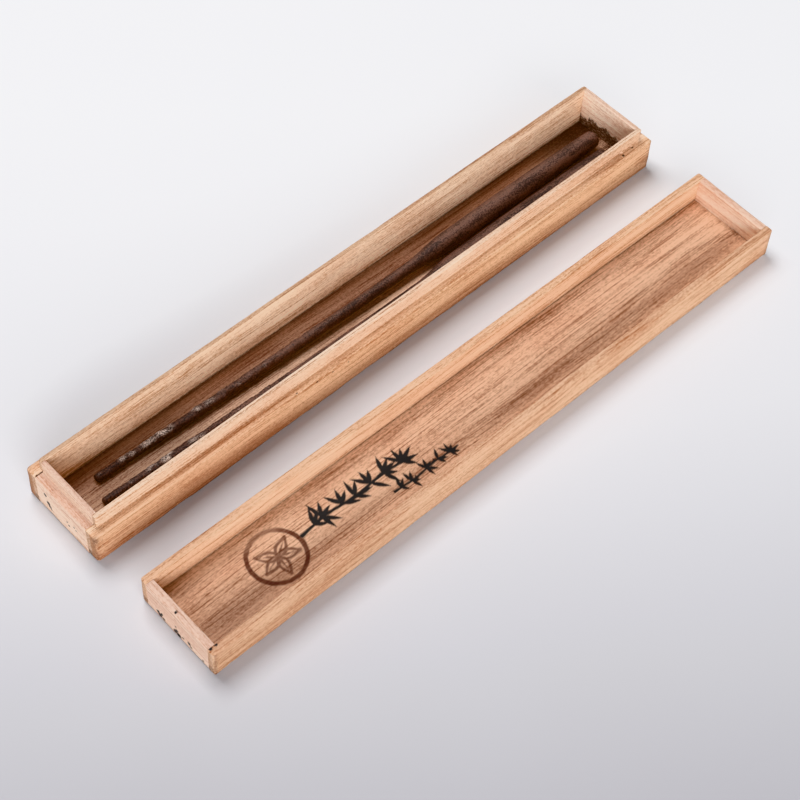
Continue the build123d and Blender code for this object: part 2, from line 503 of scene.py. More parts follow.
def rounded(points, low, high, low_radii, high_radii):
    """Points of a block, pulled in so that its edges are round. There is a radius for each side."""
    nearest = np.clip(points, low + low_radii, high - high_radii)
    reach = points - nearest
    radii = np.where(reach < 0, low_radii, high_radii)
    share = reach / np.maximum(radii, 1e-9)
    share /= np.maximum(np.linalg.norm(share, axis=1, keepdims=True), 1)
    return nearest + share * radii


def worn_blocks(blocks, pitch, fine, seed):
    """A board made of blocks, as points and quads, with its edges rounded by uneven wear.

    A block is (low corner, high corner, radii at the low sides, radii at the high sides).
    A fine span is (axis, start, stop, pitch)."""
    lines = []
    for axis in range(3):
        marks = [block[side][axis] for block in blocks for side in (0, 1)]
        lines.append(grid_lines(marks, pitch[axis], [f[1:] for f in fine if f[0] == axis]))
    middles = [(line[1:] + line[:-1]) / 2 for line in lines]
    grid = np.stack(np.meshgrid(*middles, indexing="ij"), -1)
    filled = np.zeros(grid.shape[:3], bool)
    for low, high, _, _ in blocks:
        filled |= np.all((grid > low) & (grid < high), axis=-1)
    points, quads = grid_shell(lines, filled)

    wear = 1 + 0.4 * smooth_noise(points * 0.045, seed) + 0.25 * smooth_noise(points * 0.2, seed + 1)
    best = points.copy()
    least = np.full(len(points), np.inf)
    for low, high, low_radii, high_radii in blocks:
        inside = np.all((points > low - 1e-6) & (points < high + 1e-6), axis=1)
        own = points[inside]
        size = wear[inside, None]
        moved = rounded(own, low, high, low_radii * size, high_radii * size)
        even = np.full(3, JOINT_EDGE)
        moved = rounded(moved, low, high, even, even)
        distance = np.linalg.norm(moved - own, axis=1)
        where = np.flatnonzero(inside)
        better = distance < least[where]
        best[where[better]] = moved[better]
        least[where[better]] = distance[better]
    return best, quads


def block(low, high, low_radii=SHARP, high_radii=SHARP):
    """One block of a board."""
    return tuple(np.array(part, float) for part in (low, high, low_radii, high_radii))


def facing(side, axis, *corners_and_radii):
    """A block as given, on the positive side of an axis, or its mirror image where side is -1."""
    low, high, low_radii, high_radii = block(*corners_and_radii)
    if side < 0:
        low[axis], high[axis] = -high[axis], -low[axis]
        low_radii[axis], high_radii[axis] = high_radii[axis], low_radii[axis]
    return low, high, low_radii, high_radii


# -------------------- mesh pieces


def add_mesh(name, points, faces, attributes, body, slot, *nodes):
    """Makes one piece of the model, from points in millimetres, and sets what it rides on.

    The points of a piece of the lid are in the lid's own axes."""
    if body == "lid":
        points = lid_to_frame(points)
    mesh = bpy.data.meshes.new(name)
    mesh.from_pydata((points * MM).tolist(), [], faces)
    mesh.polygons.foreach_set("use_smooth", np.ones(len(mesh.polygons), bool))
    for key, values in attributes.items():
        values = np.asarray(values, np.float32)
        if values.ndim == 1:
            mesh.attributes.new(key, "FLOAT", "POINT").data.foreach_set("value", values)
        elif values.shape[1] == 3:
            mesh.attributes.new(key, "FLOAT_VECTOR", "POINT").data.foreach_set("vector", values.ravel())
        else:
            mesh.attributes.new(key, "FLOAT_COLOR", "POINT").data.foreach_set("color", values.ravel())
    mesh.materials.append(materials[slot])
    piece = bpy.data.objects.new(name, mesh)
    bpy.context.scene.collection.objects.link(piece)
    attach(piece, body)
    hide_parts(*nodes)


# How far apart in the grain's pattern two boards are, so that no two look the same.
GRAIN_DRIFT = (431.0, 57.0, 83.0)

# The tint that changes nothing.
PLAIN = (1.0, 1.0, 1.0)


def lid_to_frame(points):
    """Moves points from the lid's own axes to where the lid lies."""
    along, across = math.cos(LID_TURN), math.sin(LID_TURN)
    x, y, z = points.T
    return np.column_stack([x * along - y * across + LID_PLACE[0], x * across + y * along + LID_PLACE[1], z])


def add_board(node, body, slot, blocks, look, grain=0, pitch=BOARD_PITCH, fine=(), chips=(), seed=1):
    """One board, with its grain along an axis.

    look(points, normals) gives its tint, grime, ink and burn. A chip is (centre, radii, depth)."""
    points, quads = worn_blocks(blocks, pitch, fine, seed)
    normals = quad_normals(points, quads)
    hollow = 0.035 * (1 + smooth_noise(points * (0.02, 0.09, 0.09), seed + 2))
    hollow += 0.02 * (1 + smooth_noise(points * (0.1, 0.5, 0.5), seed + 3))
    for centre, radii, depth in chips:
        hollow += depth * spot(points, centre, radii)
    points = points - normals * hollow[:, None]

    along = points if grain == 0 else points[:, [1, 0, 2]]
    attributes = {
        "place": along + np.array(GRAIN_DRIFT) * seed,
        "ends": rise(np.abs(normals[:, grain]), 0.6, 0.95),
    }
    attributes.update(look(points, normals))
    add_mesh(f"{node}_board", points, quads.tolist(), attributes, body, slot, node)


def paint(points, tint, grime=0.0, ink=0.0, burn=0.0):
    """The colour attributes of a piece. A tint is one colour, or one for each point."""
    colours = np.ones((len(points), 4))
    colours[:, :3] = tint
    attributes = {"tint": colours}
    for key, value in (("grime", grime), ("ink", ink), ("burn", burn)):
        attributes[key] = np.clip(np.zeros(len(points)) + value, 0, 1)
    return attributes


def blend_tints(share, first, second):
    """Goes from the first tint to the second as share goes from 0 to 1."""
    return first + share[:, None] * (np.array(second) - first)


def shade(share, tint):
    """A factor for tints: no change where share is 0, and the given tint where it is 1."""
    return blend_tints(share, PLAIN, tint)


def specks(points, places, seed):
    """Small dark flecks: each place is a centre and a radius in millimetres."""
    dark = np.zeros(len(points))
    ragged = 0.25 * smooth_noise(points * 1.4, seed)
    for centre, radius in places:
        reach = np.linalg.norm(points - centre, axis=1) / radius
        dark = np.maximum(dark, 1 - rise(reach + ragged, 0.8, 1.25))
    return dark


def foot_grime(points, amount, seed):
    """Dirt along the bottom edges and corners of outer faces."""
    cloud = smooth_noise(points * (0.06, 0.15, 0.3), seed)
    low = 0.7 * (1 - rise(points[:, 2], 0.2, 3.0 + 1.6 * cloud))
    corner = rise(np.abs(points[:, 0]), HALF_LENGTH - 3.0, HALF_LENGTH - 0.4)
    corner *= rise(np.abs(points[:, 1]), HALF_WIDTH - 3.0, HALF_WIDTH - 0.4)
    corner *= 0.75 + 0.35 * cloud + 0.5 * (1 - rise(points[:, 2], 0.5, 4.0))
    return amount * np.maximum(low, corner)


def stick_bow(along, handle_y, bend):
    """Where a chopstick's axis lies across the box, at a distance from its tip."""
    straight = handle_y + STICK_YAW * (HANDLE_MIDDLE - along)
    return straight + bend * (np.clip(NECK_AT - along, 0, NECK_AT) / NECK_AT) ** BEND_POWER


# -------------------- box


# Tints of the box's sides: the upper edges, darkened as painted shade, the shoulder, the aged outside and
# the covered wood.
TOP_TINT = (0.62, 0.54, 0.49)
NEAR_TOP_TINT = (0.82, 0.81, 0.83)
SHOULDER_TINT = (0.88, 0.8, 0.73)
AGED_TINT = (0.86, 0.75, 0.64)
COVERED_TINT = (1.03, 1.06, 1.08)

# Tints of the end boards' upper edges, darkened as painted shade, and of all end boards against the sides.
BOX_LEFT_RIM = (0.7, 0.65, 0.66)
BOX_RIGHT_RIM = (0.72, 0.68, 0.68)
LID_LEFT_RIM = (0.74, 0.7, 0.71)
LID_RIGHT_RIM = (0.9, 0.88, 0.9)
END_TINT = (1.02, 0.94, 0.89)

# The corner that is broken out of the box's far side, and the dark gap behind it.
BROKEN_CORNER = (-197.0, 20.7, 22.5)
CORNER_GAP = (-197.2, 20.5, 22.4)
CORNER_GAP_RADII = (3.4, 1.1, 2.4)

# Small dark marks on the near side: places and radii.
NEAR_SIDE_MARKS = [
    ((-69, -27, 22.5), 0.5), ((-56, -27.8, 21.6), 0.6), ((-45, -28, 20.6), 0.5),
    ((-34, -28, 19.5), 0.4), ((179, -24.6, 22.5), 0.7), ((187.5, -23.7, 22.5), 0.7),
]


def box_side_look(points, normals):
    """Aged outside and shoulder, cleaner lip and inside, where the lid has covered the wood. Painted shade
    darkens the upper edges, and the outside towards the left and towards the bottom; painted light lightens
    the inside low down.
    """
    up = rise(normals[:, 2], 0.45, 0.85)
    above = rise(points[:, 2], SHOULDER_HEIGHT + 0.4, SHOULDER_HEIGHT + 0.8)
    outside = rise(np.abs(points[:, 1]), BOX_INSIDE_Y + 3.0, BOX_INSIDE_Y + 3.4) * (1 - above)
    inside = rise(-normals[:, 1] * np.sign(points[:, 1]), 0.5, 0.9)
    low = 1 - rise(points[:, 2], 2.0, 17.0)
    left = 1 - rise(points[:, 0], -140, 0)
    tint = blend_tints(outside, COVERED_TINT, AGED_TINT)
    tint += (outside * up)[:, None] * (np.array(SHOULDER_TINT) - AGED_TINT)
    # Painted shade: the outside is darker towards the left end.
    tint *= shade(outside * left, (0.93, 0.88, 0.87))
    # Painted shade: the outer faces darken towards the bottom, more so towards the left end.
    low = low * (0.5 + 0.4 * left)
    tint *= shade(outside * (1 - up) * low, (0.72, 0.62, 0.6))
    # Painted light: the inside faces are lighter low down.
    tint *= shade(inside * (1 - rise(points[:, 2], 8, 22)), (1.16, 1.14, 1.14))
    # Painted shade on the lip tops, darker on the far side than on the near side.
    rim_tint = blend_tints(rise(points[:, 1], -1, 1), NEAR_TOP_TINT, TOP_TINT)
    tint *= 1 + (up * above)[:, None] * (rim_tint - 1)
    handled = above * (1 - up) * rise(points[:, 0] - 0.8 * points[:, 2], 113.0, 115.0) * (points[:, 1] < -21)
    tint *= shade(handled, (0.88, 0.82, 0.78))
    wall_foot = (1 - outside) * (1 - rise(points[:, 2], BOX_FLOOR + 0.2, BOX_FLOOR + 1.6))
    gap = 0.95 * spot(points, CORNER_GAP, CORNER_GAP_RADII)
    grime = np.maximum(foot_grime(points, 0.65, 11) * outside, 0.7 * wall_foot)
    marks = specks(points, NEAR_SIDE_MARKS, 18)
    return paint(points, tint, np.maximum(grime, gap), np.maximum(0.8 * gap, marks))


def end_tint(points, normals, height, rim_tint, face_tint=PLAIN, inner_tint=PLAIN):
    """Tints for an end board: its faces, its inside (lighter as painted light where an inner tint is given),
    and its upward surfaces near the top, darker as painted shade.
    """
    up = rise(normals[:, 2], 0.45, 0.85)
    inward = rise(-normals[:, 0] * np.sign(points[:, 0]), 0.5, 0.9)
    # An inner tint lightens the inside as painted light.
    tint = blend_tints(inward, face_tint, inner_tint) * END_TINT
    # Painted shade on the upward surfaces near the top.
    return tint * shade(up * rise(points[:, 2], height - 9.0, height - 8.8), rim_tint)


def add_box_side(side, node, seed, fine, chips):
    """A long side of the box: the body up to the shoulder, and the thin lip."""
    body = facing(side, 1, (-HALF_LENGTH, BOX_INSIDE_Y, 0), (HALF_LENGTH, HALF_WIDTH, SHOULDER_HEIGHT),
                  (WORN_EDGE, 0, WORN_EDGE), (WORN_EDGE, WORN_EDGE, SHOULDER_EDGE))
    lip = facing(side, 1, (-LIP_END, BOX_INSIDE_Y, LIP_ROOT), (LIP_END, LIP_OUTSIDE, BOX_HEIGHT),
                 (LIP_CORNER, SOFT_EDGE, 0), (LIP_CORNER, LIP_CORNER / 2, SOFT_EDGE))
    add_board(node, "box", "box_side_wood", [body, lip], box_side_look, fine=fine, chips=chips, seed=seed)


def add_box_end(end, node, seed, look):
    """An end board of the box, set between the sides."""
    body = facing(end, 0, (BOX_INSIDE_X, -BOX_INSIDE_Y, 0), (HALF_LENGTH, BOX_INSIDE_Y, SHOULDER_HEIGHT),
                  (0, 0, WORN_EDGE), (WORN_EDGE, 0, SHOULDER_EDGE))
    lip = facing(end, 0, (BOX_INSIDE_X, -BOX_INSIDE_Y, LIP_ROOT), (LIP_END, BOX_INSIDE_Y, BOX_HEIGHT),
                 (SOFT_EDGE, 0, 0), (SOFT_EDGE, 0, SOFT_EDGE))
    add_board(node, "box", "box_end_wood", [body, lip], look, grain=1, pitch=END_PITCH, seed=seed)


def box_left_look(points, normals):
    """The left end: pale, with a few black flecks on its outer face."""
    x = -HALF_LENGTH
    flecks = [((x, 13, 15), 1.2), ((x, 11.4, 9), 1.5), ((x, 10.2, 7), 1.1), ((x, 9.4, 5.4), 0.6),
              ((x, -4, 10), 0.6), ((x, -5.5, 8.2), 0.7), ((x, -10, 12), 0.6), ((x, -11.2, 10.6), 0.5)]
    tint = end_tint(points, normals, BOX_HEIGHT, BOX_LEFT_RIM)
    return paint(points, tint, foot_grime(points, 0.6, 12), specks(points, flecks, 5))


def box_right_look(points, normals):
    """The right end: darker low on its inner face, behind the handles, up to a ragged edge, partly dirt and
    partly painted shade; its inner face is lighter as painted light.
    """
    inner = rise(-normals[:, 0], 0.5, 0.9)
    # Darker low on the inner face up to a ragged edge: partly dirt, partly painted shade.
    edge = 13.0 + 2.0 * smooth_noise(points * (0.1, 0.22, 0.1), 8)
    edge += 2.0 * smooth_noise(points * (0.1, 0.9, 0.3), 9)
    dirt_and_shade = 0.92 * inner * (1 - rise(points[:, 2], edge - 1.0, edge + 0.8))
    # Painted light: the inner face is lighter and cooler.
    tint = end_tint(points, normals, BOX_HEIGHT, BOX_RIGHT_RIM, inner_tint=(1.06, 1.15, 1.22))
    return paint(points, tint, np.maximum(dirt_and_shade, foot_grime(points, 0.6, 13)))


def box_floor_look(points, normals):
    """The floor: darker along the walls, with a darker band under the far chopstick that is partly soot and
    partly painted shade. Its tints are partly stained wood and partly painted light and shade.
    """
    x, y = points[:, 0], points[:, 1]
    wall = rise(np.abs(y), BOX_INSIDE_Y - 3.5, BOX_INSIDE_Y - 0.3)
    ends = rise(np.abs(x), BOX_INSIDE_X - 9, BOX_INSIDE_X - 1)
    cloud = 0.5 + 0.5 * smooth_noise(points * (0.02, 0.15, 1), 14)
    middle = 1 - rise(np.abs(y + 3.5), 6.0, 12.0)
    right = rise(x, -130.0, -90.0)
    # Painted light and shade over the floor's stained wood: lighter between the chopsticks, mostly towards
    # the right, and darker towards the walls and at both ends.
    tint = blend_tints(middle, (0.68, 0.6, 0.6), (1.14, 1.06, 1.04))
    dim = (1 - 0.4 * rise(x, 130.0, 180.0)) * (0.74 + (0.45 * middle + 0.28 * (1 - middle)) * right)
    dim *= 1 + middle * (0.5 * rise(x, -20.0, 80.0) - 0.38)
    tip_x, *bow = FAR_STICK
    trace = np.abs(y - stick_bow(x - tip_x, *bow))
    # A darker band under the far chopstick, away from its tip: partly soot, partly painted shade.
    soot = 0.3 * (1 - rise(trace, 2.0, 6.0)) * rise(x, -180, -60)
    # Dirt along the walls and ends; towards the right end, dirt and painted shade together.
    grime = np.maximum(0.5 * np.maximum(wall, ends), 0.95 * rise(x, 145, 185))
    return paint(points, tint * dim[:, None], np.maximum(grime, soot) * (0.5 + cloud))


def add_box():
    """The boards of the box."""
    near_chips = [((139, -23.0, 31), (4.0, 1.6, 2.2), 0.5), ((179, -23.2, 22.8), (1.4, 0.9, 0.9), 0.8),
                  ((187.5, -23.2, 22.8), (1.1, 0.8, 0.8), 0.7), ((-196, -28, 13), (1.0, 1.0, 1.2), 0.5),
                  ((-69, -27.6, 22.2), (0.9, 0.9, 0.9), 0.4), ((-51, -28, 19), (0.8, 0.8, 0.8), 0.4),
                  ((68, -28, 22.4), (9.0, 1.4, 1.2), 0.25), ((-150, -28, 0.5), (12.0, 1.5, 1.5), 0.3)]
    far_chips = [(BROKEN_CORNER, (3.4, 0.9, 2.2), 2.2), ((30, 23, 31), (7.0, 1.2, 1.0), 0.2),
                 ((-110, 20.3, 31), (5.0, 1.0, 1.0), 0.2)]
    add_box_side(-1, "box_near_side", 1, [(0, -72.0, -32.0, 0.5), (0, 176.0, 190.0, 0.5)], near_chips)
    add_box_side(1, "box_far_side", 2, [(0, -200.0, -192.0, 0.6)], far_chips)
    add_box_end(-1, "box_left_end", 3, box_left_look)
    add_box_end(1, "box_right_end", 4, box_right_look)
    floor = block((-BOX_INSIDE_X, -BOX_INSIDE_Y, 0), (BOX_INSIDE_X, BOX_INSIDE_Y, BOX_FLOOR))
    add_board("box_floor", "box", "box_floor_wood", [floor], box_floor_look, seed=5)


# -------------------- lid


RING_CENTRE = (-136.8, 0.8)
RING_RADIUS = 15.3
RING_WIDTH = 2.3

# A distance that is outside every painted line.
FAR_AWAY = 99.0

# The brand's leaves: their directions in degrees, and their sizes.
LEAF_ANGLES = (-160, -95, -20, 35, 145)
LEAF_LENGTH = 11.5
LEAF_WIDTH = 5.2
LEAF_LINE = 0.7
RIB_LENGTH = 9.0
RIB_WIDTH = 0.9

# Darker streaks along the lid's panel: middle across it, half width, start, stop and amount.
PANEL_STREAKS = [
    (-9.0, 2.6, 0, 230, 0.55), (-12.8, 3.0, -10, 230, 0.3), (-15.6, 0.7, -5, 90, 0.55),
    (-8, 3.4, -160, -20, 0.22), (15, 5, -230, -60, 0.2), (7, 1.0, 60, 160, 0.2),
    (0.2, 0.8, -10, 100, 0.2), (-3.4, 1.0, 95, 200, 0.2),
]


def stroke(flat, start, angle, length, width):
    """Distance outside a brushed leaf, which swells from its start and tapers to a point."""
    way = np.array([math.cos(math.radians(angle)), math.sin(math.radians(angle))])
    along = np.clip((flat - start) @ way / length, 0, 1)
    nearest = start + along[:, None] * way * length
    half = width / 2 * np.sin(math.pi * np.clip(along, 0.02, 0.98) ** 0.75)
    return np.linalg.norm(flat - nearest, axis=1) - half


def bamboo(flat, joints, thickness, clusters, leaf_length, leaf_width):
    """Distance outside a brushed bamboo twig: stem pieces between joints, and fans of leaves."""
    shape = np.full(len(flat), FAR_AWAY)
    for start, stop in zip(joints[:-1], joints[1:]):
        step = np.array(stop) - start
        angle = math.degrees(math.atan2(step[1], step[0]))
        length = np.linalg.norm(step) - 1.2
        way = step / np.linalg.norm(step)
        along = np.clip((flat - start) @ way / length, 0, 1)
        nearest = start + along[:, None] * way * length
        half = thickness * (0.38 + 0.2 * np.abs(2 * along - 1) ** 3)
        shape = np.minimum(shape, np.linalg.norm(flat - nearest, axis=1) - half)
        shape = np.minimum(shape, stroke(flat, stop, angle + 78, thickness * 1.3, thickness * 0.6))
    for centre, angles in clusters:
        for count, angle in enumerate(angles):
            length = leaf_length * (1.0 - 0.12 * (count % 3))
            shape = np.minimum(shape, stroke(flat, centre, angle, length, leaf_width))
    return shape


def painted_ink(flat):
    """Two brushed bamboo twigs on the inside of the lid."""
    tall = bamboo(flat, [(-119.5, 1.6), (-103, 3.4), (-84, 1.4), (-64, 2.8), (-50, 1.2)], 2.2,
                  [((-111, 2.6), (66, 38, -30)), ((-105, 3.4), (98, 62, 20, -44, -78)),
                   ((-92, 2.6), (118, 74, 40, -28)), ((-84, 1.6), (84, 52, -40, -8)),
                   ((-73, 2.4), (128, 92, 60, -50)), ((-64, 2.8), (70, 36, -34, -70, 8)),
                   ((-52, 1.6), (126, 88, 56, 24, -12, -46))], 10.8, 2.5)
    small = bamboo(flat, [(-67, -9.6), (-53, -10.6), (-39, -9.2), (-27, -10.4)], 1.5,
                   [((-63, -9.8), (74, 38, -48)), ((-56, -10.4), (96, 60, -30, -72)),
                    ((-45, -9.8), (112, 70, 24, -40, -84)), ((-37, -9.4), (64, -26, -62)),
                    ((-29, -10.2), (122, 84, 42, 2, -34, -70))], 6.6, 1.9)
    return np.minimum(tall, small)


def burned_mark(flat):
    """Distances outside a branded ring and outside the lines of the five leaves in it."""
    centre = np.array(RING_CENTRE)
    ring = np.abs(np.linalg.norm(flat - centre, axis=1) - RING_RADIUS) - RING_WIDTH / 2
    leaves = np.full(len(flat), FAR_AWAY)
    root = centre + (0.5, -0.5)
    for angle in LEAF_ANGLES:
        outline = np.abs(stroke(flat, root, angle, LEAF_LENGTH, LEAF_WIDTH)) - LEAF_LINE
        rib = stroke(flat, root, angle, RIB_LENGTH, RIB_WIDTH)
        leaves = np.minimum(leaves, np.minimum(outline, rib))
    return ring, leaves


def lid_panel_look(points, normals):
    """The lid's panel, seen from inside: streaked wood with a painting and a brand, and painted light along
    the far wall.
    """
    flat = points[:, :2]
    top = rise(normals[:, 2], 0.5, 0.9)
    dry = smooth_noise(points * (0.5, 2.6, 1), 21) * 0.25 + smooth_noise(points * (0.12, 0.3, 1), 22) * 0.2
    ink = (1 - rise(painted_ink(flat) + 0.35 * dry, -0.25, 0.3)) * top
    ring, leaves = burned_mark(flat)
    wobble = 0.3 * smooth_noise(points * 0.5, 23)
    fade = 1 - 0.4 * rise(points[:, 1], 9, 16.5)
    burn = (1 - rise(ring + wobble, -0.3, 0.5)) * fade
    burn = np.maximum(burn, 0.85 * (1 - rise(leaves + wobble, -0.3, 0.6)))
    burn *= (0.92 + 0.3 * dry) * top

    x, y = points[:, 0], points[:, 1]
    waver = 0.9 * smooth_noise(points * (0.012, 0.05, 1), 24)
    dark = np.zeros(len(points))
    for middle, half, start, stop, amount in PANEL_STREAKS:
        across = 1 - rise(np.abs(y - middle - waver), half * 0.4, half)
        dark += amount * across * rise(x, start - 12, start + 12) * (1 - rise(x, stop - 12, stop + 12))
    tint = shade(np.clip(dark, 0, 1), (0.62, 0.56, 0.54))
    tint *= shade(1 - rise(x, -185, -120), (0.9, 0.87, 0.86))
    tint *= shade((1 - rise(x, -190, -70)) * (1 - rise(y, -8, 2)), (0.76, 0.76, 0.77))
    # Painted light: the strip along the far wall is lighter, less so towards the ends.
    upper = rise(y, 13, 18) * (1 - 0.9 * (1 - rise(x, -170, -60))) * (1 - 0.4 * rise(x, 80, 140))
    tint *= shade(upper, (1.2, 1.28, 1.34))
    wall = rise(np.abs(y), LID_INSIDE_Y - 1.5, LID_INSIDE_Y - 0.1)
    ends = rise(np.abs(x), LID_INSIDE_X - 5, LID_INSIDE_X - 0.3)
    return paint(points, tint, 0.3 * np.maximum(wall, ends), ink, burn)


def lid_side_look(points, normals):
    """The lid's long sides: the outside is aged and the inside is cleaner; the top edge is darker as painted
    shade, and the outside and top edge get painted shade towards the left end.
    """
    up = rise(normals[:, 2], 0.45, 0.85)
    outside = rise(np.abs(points[:, 1]), HALF_WIDTH - 1.2, HALF_WIDTH - 0.2) * (1 - up)
    # Painted light and shade along the length: the outside and top edges are darker towards the left end and
    # a little lighter at the right.
    leftward_shade = rise(-points[:, 0], -160, 200)
    tint = shade(outside, (0.82, 0.74, 0.68))
    # Painted shade on the top edges, darker on the near side than on the far side.
    rim_tint = blend_tints(rise(points[:, 1], -1, 1), (0.77, 0.68, 0.64), (0.87, 0.8, 0.76))
    tint *= 1 + up[:, None] * (rim_tint - 1)
    tint *= blend_tints(leftward_shade * np.maximum(outside, up), (1.03, 1.03, 1.03), (0.88, 0.84, 0.82))
    wall_foot = (1 - outside) * (1 - rise(points[:, 2], LID_PANEL + 0.1, LID_PANEL + 1.0))
    dots = specks(points, [((-198.4, -23.8, LID_HEIGHT), 0.9), ((-195.2, -23.7, LID_HEIGHT), 0.9)], 7)
    return paint(points, tint, np.maximum(foot_grime(points, 0.6, 15) * outside, 0.5 * wall_foot), dots)


def lid_left_look(points, normals):
    """The lid's left end: pale, with black flecks on its outer face and its top edge."""
    x = -HALF_LENGTH
    flecks = [((x, 15, 5.0), 1.3), ((x, 13.6, 3.6), 1.5), ((x, 12.2, 6.0), 0.9), ((x, 11.0, 3.2), 1.1),
              ((x, 2, 3.4), 1.4), ((x, 0.6, 5.6), 1.0), ((x, -0.6, 2.8), 1.8), ((x, 1.4, 8.5), 0.6),
              ((x, -4.0, 4.6), 0.8), ((x, -8.6, 5.4), 1.1), ((x, -10.0, 3.6), 0.8),
              ((x + 1.4, 2.0, LID_HEIGHT), 0.7), ((x, -19, 3.0), 0.7)]
    tint = end_tint(points, normals, LID_HEIGHT, LID_LEFT_RIM, (0.96, 0.93, 0.93))
    return paint(points, tint, foot_grime(points, 0.6, 16), specks(points, flecks, 6))


def lid_right_look(points, normals):
    """The lid's right end, its inner face lighter as painted light."""
    # Painted light: the inner face is lighter and cooler.
    tint = end_tint(points, normals, LID_HEIGHT, LID_RIGHT_RIM, inner_tint=(1.04, 1.12, 1.18))
    return paint(points, tint, foot_grime(points, 0.6, 17))


def add_lid_side(side, node, seed, chips):
    """A long side of the lid."""
    plank = facing(side, 1, (-HALF_LENGTH, LID_INSIDE_Y, 0), (HALF_LENGTH, HALF_WIDTH, LID_HEIGHT),
                   (WORN_EDGE, LID_INNER_EDGE, WORN_EDGE), (WORN_EDGE, WORN_EDGE, SOFT_EDGE))
    add_board(node, "lid", "lid_side_wood", [plank], lid_side_look, fine=[(0, -200.0, -192.0, 0.5)],
              chips=chips, seed=seed)


def add_lid_end(end, node, seed, look):
    """An end board of the lid, set between the sides."""
    plank = facing(end, 0, (LID_INSIDE_X, -LID_INSIDE_Y, 0), (HALF_LENGTH, LID_INSIDE_Y, LID_HEIGHT),
                   (LID_INNER_EDGE, 0, WORN_EDGE), (WORN_EDGE, 0, SOFT_EDGE))
    add_board(node, "lid", "lid_end_wood", [plank], look, grain=1, pitch=END_PITCH, seed=seed)


def add_lid():
    """The boards of the lid."""
    near_chips = [((-190, -28, 0.5), (3.0, 1.5, 1.5), 0.5), ((60, -28, 0.3), (14.0, 1.2, 1.2), 0.25)]
    far_chips = [((100, 28, LID_HEIGHT), (8.0, 1.0, 1.0), 0.2)]
    add_lid_side(-1, "lid_near_side", 6, near_chips)
    add_lid_side(1, "lid_far_side", 7, far_chips)
    add_lid_end(-1, "lid_left_end", 8, lid_left_look)
    add_lid_end(1, "lid_right_end", 9, lid_right_look)
    panel = block((-LID_INSIDE_X, -LID_INSIDE_Y, 0), (LID_INSIDE_X, LID_INSIDE_Y, LID_PANEL))
    marked = [(0, -156.0, -17.0, 0.55)]
    add_board("lid_panel", "lid", "lid_panel_wood", [panel], lid_panel_look, pitch=(2.0, 0.52, 1.6),
              fine=marked, seed=10)


# -------------------- pegs


PEG_HEAD_RADIUS = 0.9
PEG_TIP_RADIUS = 0.6
PEG_GRIP = 11.0
PEG_SIDES = 20
PANEL_PEG_PITCH = 75.0
PANEL_PEG_COUNT = 5
BOX_CORNER_PEG_HEIGHTS = (8.0, 13.0, 18.5)
LID_CORNER_PEG_HEIGHTS = (8.5, 14.5)
PEG_GRAIN_START = 900.0


def ring_solid(rings):
    """Points and faces of a closed solid through rings of points, capped at both ends."""
    count, around = rings.shape[:2]
    points = rings.reshape(-1, 3)
    faces = []
    for row in range(count - 1):
        for step in range(around):
            after = (step + 1) % around
            faces.append((row * around + step, row * around + after,
                          (row + 1) * around + after, (row + 1) * around + step))
    for row in (0, count - 1):
        for step in range(around):
            edge = [row * around + (step + 1) % around, row * around + step]
            if row > 0:
                edge.reverse()
            faces.append((*edge, len(points)))
        points = np.vstack([points, rings[row].mean(axis=0)])
    return points, faces


def peg_rings(side, x, z, wall, seed):
    """Rings of one tapered peg, from its slightly domed head inwards."""
    length = wall + PEG_GRIP
    profile = [(0.0, 0.55), (0.02, 0.86), (0.09, 0.99), (0.3, 1.0), (length - 0.4, 1.0), (length, 0.5)]
    turn = np.linspace(0, 2 * math.pi, PEG_SIDES, endpoint=False)
    rough = 1 + 0.05 * np.sin(3 * turn + seed) + 0.03 * np.sin(5 * turn + 2 * seed)
    rings = []
    for depth, share in profile:
        radius = share * (PEG_HEAD_RADIUS + (PEG_TIP_RADIUS - PEG_HEAD_RADIUS) * depth / length)
        rings.append(np.column_stack([x + radius * rough * np.cos(turn) * -side,
                                      np.full(PEG_SIDES, side * (HALF_WIDTH - depth)),
                                      z + radius * rough * np.sin(turn)]))
    return np.array(rings)


def add_pegs(name, node, body, places, wall, seed):
    """A group of separate pegs, as one piece."""
    all_points = []
    all_faces = []
    start = 0
    for count, (side, x, z) in enumerate(places):
        points, faces = ring_solid(peg_rings(side, x, z, wall, seed + count))
        all_points.append(points)
        all_faces += [tuple(start + corner for corner in face) for face in faces]
        start += len(points)
    points = np.concatenate(all_points)
    head = rise(np.abs(points[:, 1]), HALF_WIDTH - 1.0, HALF_WIDTH - 0.3)
    attributes = {"place": points[:, [1, 0, 2]] + PEG_GRAIN_START + seed, "ends": 0.6 * head}
    attributes.update(paint(points, (0.97, 0.93, 0.9), 0.1 * head))
    add_mesh(name, points, all_faces, attributes, body, "peg_wood", node)


def corner_places(wall, heights):
    """Side, X and Z of the pegs that hold the end boards."""
    x = HALF_LENGTH - wall / 2
    return [(side, end * x, z) for side in (-1, 1) for end in (-1, 1) for z in heights]


def row_places(thickness):
    """Side, X and Z of the pegs along the floor or the panel."""
    first = -PANEL_PEG_PITCH * (PANEL_PEG_COUNT - 1) / 2
    row = [first + PANEL_PEG_PITCH * count for count in range(PANEL_PEG_COUNT)]
    return [(side, x, thickness / 2) for side in (-1, 1) for x in row]


